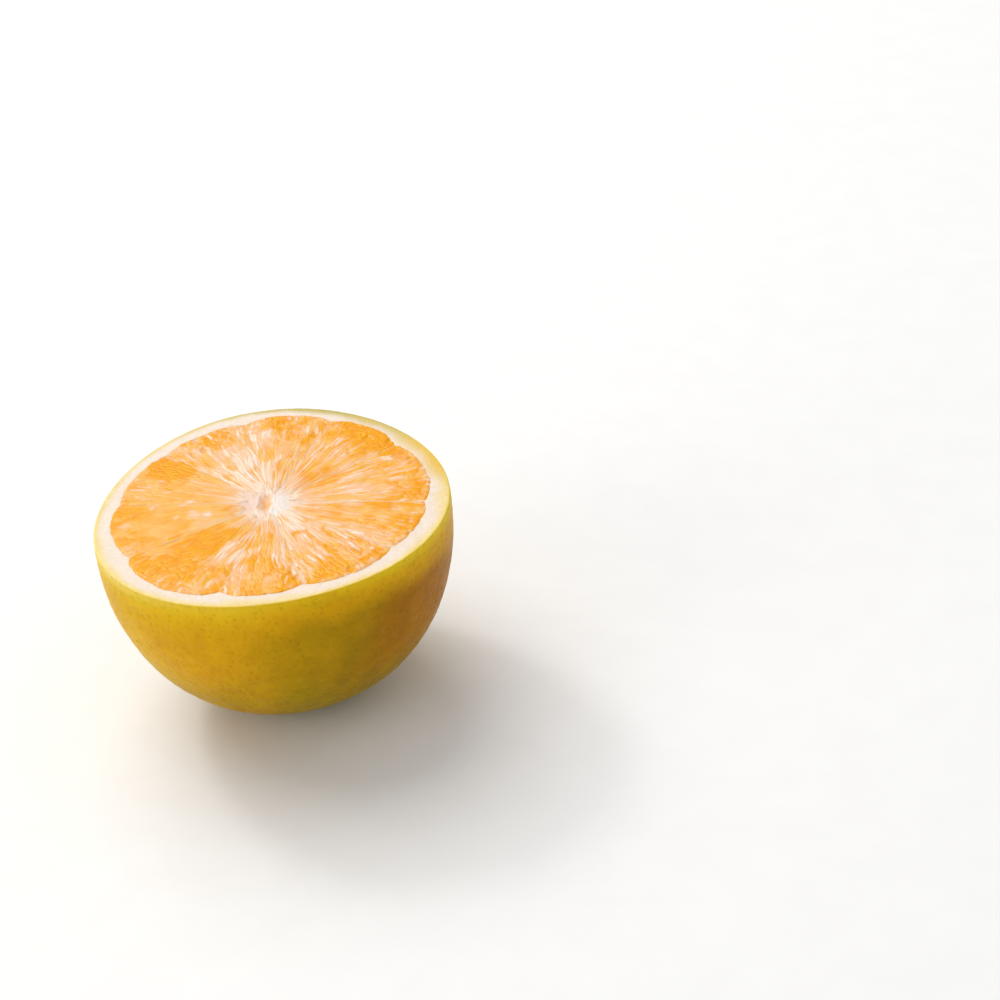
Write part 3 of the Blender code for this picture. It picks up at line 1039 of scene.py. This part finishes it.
def make_core(material):
    columns, rows = 320, 80
    angle = np.arange(columns) * TAU / columns
    radius = np.linspace(0.0, 9.6, rows + 1)[1:]
    shape = Body()
    lines = []

    def surface(x, y, r, a):
        u = x + 0.35 * noise(x / 1.3, y / 1.3, 0, 166)
        v = y + 0.45 * noise(x / 1.3, y / 1.3, 0, 167)
        hollow = np.hypot((u + 1.15) / 1.35, (v - 0.3) / 3.4)
        lobe = np.hypot((u - 1.9) / 1.9, (v + 1.1) / 3.1)
        blush = np.hypot((u + 4.2) / 2.2, (v - 1.0) / 2.6)
        ridge = noise(u / 0.8, v / 1.3, 0, 161) * (1 - smooth((r - 1.5) / 2.5))
        ridge = ridge + noise(a * 9 + 0.8 * noise(x, y, 0, 163), r * 0.3, 0, 162) * smooth((r - 1.5) / 2.5)
        z = -0.10 + 0.09 * ridge + 0.07 * cloud(x / 1.1, y / 1.1, 0, 165)
        z = z + 0.14 * smooth(1.35 - lobe) - 0.75 * smooth((1.35 - hollow) / 1.35)
        z = z + 0.10 * np.exp(-(((hollow - 1.35) / 0.25) ** 2)) - 0.12 * smooth(1.2 - blush)
        z = z - 0.9 * smooth((r - 8.4) / 1.2)
        flush = smooth((1.2 - hollow) / 0.8)
        rosy = smooth((1.35 - blush) / 0.7) * (1 - flush)
        white = np.clip(smooth(1.7 - lobe) + 0.40 * smooth((7.0 - r) / 4) + 0.25 * ridge, 0, 1)
        return z, white * (1 - flush) * (1 - rosy), flush, rosy

    for r in radius:
        x, y = r * np.cos(angle), r * np.sin(angle)
        z, white, flush, rosy = surface(x, y, r, angle)
        uv = np.stack([0.5 + 0.46 * r / 9.6 * np.cos(angle), 0.5 + 0.46 * r / 9.6 * np.sin(angle)], 1)
        lines.append(
            shape.add(
                np.stack([x, y, z], 1),
                uv,
                white=white,
                flush=flush,
                rosy=rosy,
                across=x,
                along=y * 0.7,
            )
        )
    z, white, flush, rosy = surface(*np.zeros((4, 1)))
    middle = shape.add(
        np.array([[0.0, 0.0, z[0]]]), np.array([[0.5, 0.5]]), white=white, flush=flush, rosy=rosy
    )
    for a, b in zip(lines[:-1], lines[1:]):
        shape.sew(b, a)
    shape.fan(lines[0], middle[0])
    hidden = np.full((columns, 2), 0.07)
    rim = np.stack([9.6 * np.cos(angle), 9.6 * np.sin(angle), np.full(columns, -7.0)], 1)
    skirt = shape.add(rim, hidden, white=0.5)
    bottom = shape.add(np.array([[0, 0, -9.0]]), hidden[:1])
    wide, slim = (circle(columns, 0.07, 0.07, radius) for radius in (0.06, 0.03))
    shape.sew(skirt, lines[-1], places=(slim, wide))
    shape.fan(skirt[::-1], bottom[0], places=(slim[::-1], complex(0.07, 0.07)))
    return shape.make("core", material)


rind_look, pith_look = rind_material(), pith_material()
flesh_look, core_look = flesh_material("flesh", 0.30), core_material()
wall_look = flesh_material("membrane", 0.0)
make_rind(rind_look)
make_pith(pith_look)
make_walls(wall_look, [make_segment(n, flesh_look) for n in range(COUNT)])
make_core(core_look)

# ------------------------------------------------------------------ floor, light, camera
floor_mesh = bpy.data.meshes.new("floor")
side = 6.0
floor_mesh.from_pydata(
    [(-side, -side, 0), (side, -side, 0), (side, side, 0), (-side, side, 0)],
    [],
    [(0, 1, 2, 3)],
)
floor = bpy.data.objects.new("floor", floor_mesh)
bpy.context.scene.collection.objects.link(floor)
paper = Shader("floor", Specular_IOR_Level=0.25)
grain = paper.noise(paper.place(), 90.0, 3.0, 0.55)
floor_mesh.materials.append(
    paper.done(
        paper.mix(paper.ramp(grain, 0.3, 0.7), (0.925, 0.925, 0.92), (0.94, 0.94, 0.935)), 0.6
    )
)

centre = Vector(AXIS / 1000)


def area_light(name, place, target, size, watts, colour=(1.0, 1.0, 1.0)):
    data = bpy.data.lights.new(name, "AREA")
    data.shape = "DISK"
    data.size = size
    data.energy = watts
    data.color = colour
    lamp = bpy.data.objects.new(name, data)
    lamp.location = place
    lamp.rotation_euler = (Vector(target) - Vector(place)).to_track_quat("-Z", "Y").to_euler()
    bpy.context.scene.collection.objects.link(lamp)


area_light("window", (-0.75, 0.95, 1.85), centre, 2.2, 30.0, (1.0, 0.99, 0.975))
area_light("fill", (-1.6, -0.9, 0.7), centre, 1.2, 7.0)
area_light("glint", (-0.80, 0.85, 1.15), centre, 0.28, 4.0)

world = bpy.data.worlds.new("studio")
bpy.context.scene.world = world
world.use_nodes = True
world.node_tree.nodes["Background"].inputs["Color"].default_value = (1.0, 1.0, 1.0, 1.0)
world.node_tree.nodes["Background"].inputs["Strength"].default_value = 0.50

camera_data = bpy.data.cameras.new("camera")
camera_data.lens = 86.4
camera_data.sensor_width = 36.0
camera_data.clip_start = 0.01
camera_data.clip_end = 50.0
camera = bpy.data.objects.new("camera", camera_data)
bpy.context.scene.collection.objects.link(camera)
right = Vector((0.99652, 0.0, -0.08337))
up = Vector((0.06948, 0.55258, 0.83056))
back = Vector((0.04607, -0.83346, 0.55066))
turned = Matrix((right, up, back)).transposed().to_4x4()
camera.matrix_world = (
    Matrix.Translation(centre + Vector((0.0715629, -0.4216985, 0.2753051))) @ turned
)
bpy.context.scene.camera = camera

bpy.context.scene.view_settings.view_transform = "Standard"
bpy.context.scene.view_settings.look = "None"
bpy.context.scene.view_settings.exposure = 0.0
